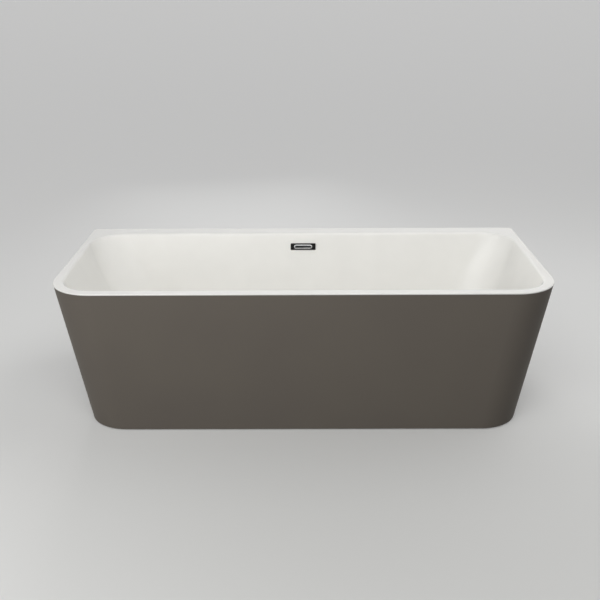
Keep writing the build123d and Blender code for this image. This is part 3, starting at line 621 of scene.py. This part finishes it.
def union_nut(node, body, bore, ribs, along_y=False, collar_first=False):
    """A moulded nut in the place of a node, on the upright axis or along Y. Its collar is at the upper
    or the rear end, or with collar_first at the other."""
    low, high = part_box(node)
    crest = (high.x - low.x) / 2
    span = (high.y - low.y) if along_y else (high.z - low.z)
    rib_reach = ribbed(ribs, crest)
    collar = crest - rib_depth / 2
    bm = ringed(corners_per_rib * ribs, [
        (bore, 0.0),
        (crest - rib_depth - nut_edge, 0.0),
        (crest - rib_depth, nut_edge / 2),
        (rib_reach, 2 * nut_edge),
        (rib_reach, span - nut_collar - nut_edge),
        (crest - rib_depth, span - nut_collar - nut_edge / 4),
        (crest - rib_depth, span - nut_collar),
        (collar, span - nut_collar + nut_edge / 4),
        (collar, span - nut_edge / 2),
        (collar - nut_edge / 2, span),
        (bore, span),
        (bore, 0.0),
    ])
    flip = Matrix.Rotation(pi, 4, "X") if collar_first else Matrix()
    lean = Matrix.Rotation(-pi / 2, 4, "X") if along_y else Matrix()
    to_middle = Matrix.Translation((0, 0, -span / 2))
    matrix = Matrix.Translation(middle_of(node)) @ lean @ flip @ to_middle
    bmesh.ops.transform(bm, matrix=matrix, verts=bm.verts)
    finished(bm, f"ribbed_{node}", slot_of[node], body, node)


hose_bore = 0.0135
neck_bore = 0.020
outlet_bore = 0.0215
union_nut("hose_nut_upper", "tub", hose_bore, ribs=20, collar_first=True)
union_nut("hose_nut_lower", "tub", hose_bore, ribs=20, along_y=True, collar_first=True)
union_nut("trap_nut", "tub", neck_bore, ribs=28)
union_nut("outlet_nut", "trap", outlet_bore, ribs=26, along_y=True)


# Lock nuts and studs: hexagons with 30 degree chamfers, and a real thread

hexagon_sides = 36
hexagon_face_share = 0.94
chamfer_slope = tan(radians(30))
thread_pitch = 0.00175
thread_depth_share = 0.613
thread_sides = 20
stud_radius = 0.006
stud_hexagon = 0.017
stud_hexagon_height = 0.008
stud_hexagon_gap = 0.003
stud_tip = 0.0015
foot_numbers = range(1, 9)


def hexagonal(across):
    """Reach of a hexagon's outline, given by its width across flats, with corners on the X axis."""
    def reach(bearing):
        off = (bearing - pi / 2 + pi / 6) % (pi / 3) - pi / 6
        return across / 2 / cos(off)
    return reach


def chamfered(across, level, way):
    """Level of a hexagon's edge, cut back where its corners stand out; way is 1 for its upper edge."""
    def height(bearing):
        return level - way * (hexagonal(across)(bearing) - across / 2) * chamfer_slope
    return height


def hexagon_body(across, bore, low, high):
    """A hexagon with chamfered corners between two levels, with a bore or closed where that is zero."""
    face = across / 2 * hexagon_face_share
    bevel = (across / 2 - face) * chamfer_slope
    profile = [
        (bore, low),
        (face, low),
        (hexagonal(across), chamfered(across, low + bevel, -1)),
        (hexagonal(across), chamfered(across, high - bevel, 1)),
        (face, high),
        (bore, high),
    ]
    if bore:
        profile.append(profile[0])
    return ringed(hexagon_sides, profile)


def threaded_rod(low, high):
    """A right-hand thread cut off square at two levels, with its upper end run in."""
    root = stud_radius - thread_depth_share * thread_pitch
    start = low - thread_pitch
    turns = ceil((high - start) / thread_pitch) + 1
    bm = bmesh.new()
    # One tooth: the reach of each corner, and its place as a share of the pitch
    tooth = ((root, 0.0), (stud_radius, 0.38), (stud_radius, 0.5), (root, 0.88), (root, 1.0))
    corners = [bm.verts.new((reach, 0.0, start + share * thread_pitch)) for reach, share in tooth]
    lines = [bm.edges.new(pair) for pair in zip(corners, corners[1:])]
    bmesh.ops.spin(
        bm, geom=corners + lines, cent=(0, 0, 0), axis=(0, 0, 1), angle=2 * pi * turns,
        steps=thread_sides * turns, dvec=(0, 0, thread_pitch / thread_sides),
    )
    bmesh.ops.remove_doubles(bm, verts=bm.verts, dist=thread_pitch / 100)
    for level, way in ((low, -1), (high, 1)):
        everything = bm.verts[:] + bm.edges[:] + bm.faces[:]
        bmesh.ops.bisect_plane(
            bm, geom=everything, plane_co=(0, 0, level), plane_no=(0, 0, way), clear_outer=True,
        )
    bmesh.ops.holes_fill(bm, edges=[edge for edge in bm.edges if edge.is_boundary], sides=0)
    for corner in bm.verts:
        limit = stud_radius - max(corner.co.z - (high - stud_tip), 0.0)
        if corner.co.xy.length > limit:
            corner.co = at(limit, corner.co.z)(corner.co)
    return bm


def levelling_studs():
    """One thread and one hexagon, copied to every foot."""
    low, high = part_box("foot_stud_1")
    hexagon_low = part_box("foot_pad_1")[1].z + stud_hexagon_gap
    rod = threaded_rod(low.z, high.z)
    hexagon = hexagon_body(stud_hexagon, 0.0, hexagon_low, hexagon_low + stud_hexagon_height)
    for number in foot_numbers:
        node = f"foot_stud_{number}"
        middle = middle_of(node)
        bm = rod.copy()
        join(bm, hexagon)
        bmesh.ops.translate(bm, vec=(middle.x, middle.y, 0.0), verts=bm.verts)
        finished(bm, f"threaded_stud_{number}", slot_of[node], f"foot_{number}", node)
    rod.free()
    hexagon.free()


def lock_nuts():
    """A hexagon nut on every stud, tight under its rail."""
    places = []
    for group in solids_of("lock_nuts"):
        low, high = box_of(group)
        places.append(Matrix.Translation(((low.x + high.x) / 2, (low.y + high.y) / 2, low.z)))
    across = high.y - low.y
    nut = hexagon_body(across, stud_radius, 0.0, high.z - low.z)
    finished(copied(nut, places), "hexagon_lock_nuts", slot_of["lock_nuts"], "tub", "lock_nuts")


levelling_studs()
lock_nuts()


# Levelling pads: a round sole with gussets up to its boss

pad_gussets = 10
corners_per_gusset = 8
# Reach and level round the sole's rim
pad_rim = (
    (0.0275, 0.0), (0.0292, 0.0007), (0.030, 0.002), (0.030, 0.0052), (0.0292, 0.0065), (0.0275, 0.007),
)
# Reach, level between two gussets and level on a gusset, from the rim up to the boss
gusset_rings = (
    (0.0262, 0.0072, 0.0080), (0.0240, 0.0075, 0.0100), (0.0145, 0.0088, 0.0200), (0.0124, 0.0100, 0.0215),
)
pad_boss = 0.0118
pad_boss_foot = 0.0222
pad_boss_edge = 0.0008
stud_socket = 0.0062
pad_sole = 0.006


def gusseted(valley, crest):
    """Level of a ring on the pad: two of the corners to a gusset lie on its crest."""
    def height(bearing):
        step = round(bearing * corners_per_gusset * pad_gussets / (2 * pi))
        return crest if step % corners_per_gusset < 2 else valley
    return height


def levelling_pads():
    """A moulded pad under every stud."""
    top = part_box("foot_pad_1")[1].z
    for number in foot_numbers:
        node = f"foot_pad_{number}"
        middle = middle_of(node)
        bm = ringed(corners_per_gusset * pad_gussets, [
            (0.0, 0.0),
            *pad_rim,
            *[(reach, gusseted(valley, crest)) for reach, valley, crest in gusset_rings],
            (pad_boss, pad_boss_foot),
            (pad_boss, top - pad_boss_edge),
            (pad_boss - pad_boss_edge, top),
            (stud_socket, top),
            (stud_socket, pad_sole),
            (0.0, pad_sole),
        ])
        bmesh.ops.translate(bm, vec=(middle.x, middle.y, 0.0), verts=bm.verts)
        finished(bm, f"gusseted_pad_{number}", slot_of[node], f"foot_{number}", node)


levelling_pads()


# Screws: domed heads with a cross recess

screw_sides = 24
recess_reach_share = 0.56
recess_arm_share = 0.27
# Each ring of the recess: its share of the recess's reach and its depth as a share of the head's height
recess_shares = ((0.45, 0.78), (1.0, 0.06))
recess_floor_share = 0.8
# Each ring of the dome: its share of the head's radius and its depth as a share of the head's height
dome_shares = ((0.68, 0.02), (0.85, 0.16), (0.96, 0.42), (1.0, 0.72), (1.0, 0.94), (0.96, 1.0))
# What lies further off the axis than this share of the head's radius belongs to the head
head_only_share = 0.8


def crossed(reach):
    """Reach of a cross recess; the corners of its arms stand 15 degrees off the arms' middle lines."""
    arm = reach * recess_arm_share
    arm_end = radians(16)

    def outline(bearing):
        off = bearing % (pi / 2)
        off = min(off, pi / 2 - off)
        return reach / cos(off) if off < arm_end else arm / sin(off)
    return outline


def cross_screw(head, head_height, shank, span):
    """A pan head screw on the upright axis, its head's top at zero and its tip at minus its span."""
    reach = head * recess_reach_share
    return ringed(screw_sides, [
        (0.0, -recess_floor_share * head_height),
        *[(crossed(share * reach), -depth * head_height) for share, depth in recess_shares],
        *[(share * head, -depth * head_height) for share, depth in dome_shares],
        (shank, -head_height),
        (shank, -span + shank),
        (0.0, -span),
    ])


def screws(node, head_height, shank):
    """Every screw of a node; a screw's axis is the one across which it is round."""
    places_of = {}
    for group in solids_of(node):
        low, high = box_of(group)
        size = high - low
        middle = (low + high) / 2
        axis = min(range(3), key=lambda one: abs(size[one - 1] - size[one - 2]))
        head = size[axis - 1] / 2
        line = Vector([1.0 if one == axis else 0.0 for one in range(3)])
        wide = [corner for corner in group if (corner - middle).cross(line).length > head_only_share * head]
        way = 1.0 if sum((corner - middle)[axis] for corner in wide) > 0 else -1.0
        top = middle + line * way * size[axis] / 2
        turn = (line * way).to_track_quat("Z", "Y").to_matrix().to_4x4()
        # Screws that are alike to a hundredth of a millimetre are copies of one
        kind = (round(head, 5), round(size[axis], 5))
        places_of.setdefault(kind, []).append(Matrix.Translation(top) @ turn)
    whole = bmesh.new()
    for kind in sorted(places_of):
        head, span = kind
        alike = copied(cross_screw(head, head_height, shank, span), places_of[kind])
        join(whole, alike)
        alike.free()
    finished(whole, f"cross_{node}", slot_of[node], "tub", node)


screws("board_screws", head_height=0.0035, shank=0.003)
screws("bracket_screws", head_height=0.0028, shank=0.0025)
screws("batten_screws", head_height=0.0028, shank=0.0025)


# Weld beads where the cross tubes meet the rails

bead_sides = 12
bead_radius = 0.0024
bead_ripple = 0.0019
# The tube's rounded corners stay bare
bead_corner = 0.003
bead_end_share = 0.7
# Reach of a ripple as a share of the bead's radius, and its place as a share of the ripple
ripple_shares = ((1.0, 0.3), (0.84, 0.95))


def weld_beads():
    """Short fillet welds down both sides of each tube's end and under it."""
    rail_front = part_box("frame_rail_front")
    rail_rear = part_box("frame_rail_rear_left")
    span = rail_front[1].z - rail_front[0].z - 2 * bead_corner
    ripples = round(span / bead_ripple)
    profile = [(0.0, 0.0), (bead_end_share * bead_radius, 0.0)]
    for ripple in range(ripples):
        start = ripple * span / ripples
        profile += [(reach * bead_radius, start + share * bead_ripple) for reach, share in ripple_shares]
    profile.append((0.0, span))
    bead = ringed(bead_sides, profile)
    middle_z = (rail_front[0].z + rail_front[1].z) / 2
    lying = Matrix.Rotation(pi / 2, 4, "Y")
    places = []
    for name in nodes:
        if not name.startswith("frame_cross"):
            continue
        low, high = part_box(name)
        middle_x = (low.x + high.x) / 2
        for end_y in (rail_front[1].y, rail_rear[0].y):
            for side_x in (low.x, high.x):
                # The rear rails end flush with the inner tubes, so there is nothing to weld to there
                flush = end_y > 0 and abs(side_x) < abs(middle_x) and "inner" in name
                if not flush:
                    places.append(Matrix.Translation((side_x, end_y, middle_z - span / 2)))
            places.append(Matrix.Translation((middle_x - span / 2, end_y, low.z)) @ lying)
    finished(copied(bead, places), "frame_weld_beads", "coated_steel", "tub")


weld_beads()


# Stage, light and camera

floor_reach = 200.0
lit_patch = (0.0, -1.2, 0.0)
half_glow_distance = 1.9
full_glow = 0.43
ambient_strength = 0.13


def seen_directly(tree):
    """One where the camera sees a surface, also in a mirror or through glass, and zero elsewhere."""
    path = add(tree, "ShaderNodeLightPath")
    seen = add(tree, "ShaderNodeMath", "Value", {"operation": "MAXIMUM"}, {
        0: path.outputs["Is Camera Ray"], 1: path.outputs["Is Glossy Ray"],
    })
    return add(tree, "ShaderNodeMath", "Value", {"operation": "MAXIMUM"}, {
        0: seen, 1: path.outputs["Is Transmission Ray"],
    })


def studio_paper():
    """Pale matt studio paper; it throws less light back at the tub than the camera sees in it."""
    material, tree, shader, place = new_finish("studio_paper")
    seen = seen_directly(tree)
    # Away from the lit patch in front of the tub the paper brightens towards the white backdrop
    away = add(tree, "ShaderNodeVectorMath", "Value", {"operation": "DISTANCE"}, {0: place, 1: lit_patch})
    share = add(tree, "ShaderNodeMath", "Value", {"operation": "DIVIDE"}, {0: away, 1: half_glow_distance})
    share = add(tree, "ShaderNodeMath", "Value", {"operation": "POWER"}, {0: share, 1: 2.0})
    above = add(tree, "ShaderNodeMath", "Value", {"operation": "ADD"}, {0: share, 1: 1.0})
    share = add(tree, "ShaderNodeMath", "Value", {"operation": "DIVIDE"}, {0: share, 1: above})
    glow = add(tree, "ShaderNodeMath", "Value", {"operation": "MULTIPLY"}, {0: share, 1: full_glow})
    feed(tree, shader, {
        "Base Color": add(tree, "ShaderNodeMix", "Result", {"data_type": "RGBA"}, {
            "Factor": seen, "A": linear("#6A6A68"), "B": linear("#CFCFCD"),
        }),
        "Roughness": 0.9,
        "Specular IOR Level": 0.1,
        "Emission Color": linear("#FFFFFF"),
        "Emission Strength": add(tree, "ShaderNodeMath", "Value", {"operation": "MULTIPLY"}, {
            0: seen, 1: glow,
        }),
    })
    return material


floor_bm = bmesh.new()
bmesh.ops.create_grid(floor_bm, x_segments=1, y_segments=1, size=floor_reach)
floor_mesh = bpy.data.meshes.new("studio_floor")
floor_bm.to_mesh(floor_mesh)
floor_bm.free()
floor_mesh.materials.append(studio_paper())
floor = bpy.data.objects.new("studio_floor", floor_mesh)
bpy.context.scene.collection.objects.link(floor)

world = bpy.data.worlds.new("studio")
bpy.context.scene.world = world
world.use_nodes = True
sky = world.node_tree
sky.nodes.clear()
sky_light = add(sky, "ShaderNodeBackground", "Background", inputs={
    "Color": linear("#FFFFFF"),
    "Strength": add(sky, "ShaderNodeMapRange", "Result", inputs={
        "Value": seen_directly(sky), "To Min": ambient_strength, "To Max": 1.0,
    }),
})
add(sky, "ShaderNodeOutputWorld", inputs={"Surface": sky_light})


def lamp(name, place, target, size, power, spread=180):
    """A square soft lamp that looks at a point, with its beam's spread in degrees."""
    light = bpy.data.lights.new(name, "AREA")
    light.shape = "SQUARE"
    light.size = size
    light.energy = power
    light.spread = radians(spread)
    holder = bpy.data.objects.new(name, light)
    holder.location = place
    holder.rotation_mode = "QUATERNION"
    holder.rotation_quaternion = (Vector(target) - Vector(place)).to_track_quat("-Z", "Y")
    bpy.context.scene.collection.objects.link(holder)
    return holder


lamp("front_softbox", place=(0.0, -2.6, 2.6), target=(0.0, 0.0, 0.45), size=2.0, power=41)
lamp("left_softbox", place=(-2.7, -2.4, 1.7), target=(0.0, -0.3, 0.35), size=2.8, power=38)
lamp("low_softbox", place=(-1.0, -2.8, 1.6), target=(0.0, -0.3, 0.35), size=2.2, power=19)
lamp("right_softbox", place=(1.5, 0.5, 2.6), target=(-0.3, 0.0, 0.35), size=2.4, power=26)
lamp("back_softbox", place=(-1.2, 1.0, 2.6), target=(0.3, 0.0, 0.35), size=1.6, power=2)
# A low lamp lights the open rear; the ledge would mirror it, so only matt light comes from it
rear_lamp = lamp(
    "rear_softbox", place=(-0.8, 4.4, 1.4), target=(0.0, 0.3, 0.3), size=1.8, power=8, spread=50,
)
rear_lamp.visible_glossy = False

# The photograph's camera, solved from the outlines of the rim and of the skirt's foot
camera_place = Vector((-0.0015, -3.0497, 1.5776))
camera_pitch = radians(21.245)
camera_yaw = radians(-0.219)
camera_roll = radians(0.257)
focal_pixels = 826.2
image_pixels = 600.0
sensor_width = 36.0

forward = Vector((
    sin(camera_yaw) * cos(camera_pitch),
    cos(camera_yaw) * cos(camera_pitch),
    -sin(camera_pitch),
))
level_right = Vector((cos(camera_yaw), -sin(camera_yaw), 0.0))
level_down = forward.cross(level_right)
right = cos(camera_roll) * level_right + sin(camera_roll) * level_down
down = -sin(camera_roll) * level_right + cos(camera_roll) * level_down
camera_data = bpy.data.cameras.new("photograph_view")
camera_data.sensor_width = sensor_width
camera_data.lens = sensor_width * focal_pixels / image_pixels
camera = bpy.data.objects.new("photograph_view", camera_data)
bpy.context.scene.collection.objects.link(camera)
camera_turn = Matrix((right, -down, -forward)).transposed().to_4x4()
camera.matrix_world = Matrix.Translation(camera_place) @ camera_turn
bpy.context.scene.camera = camera

bpy.context.scene.view_settings.view_transform = "Standard"
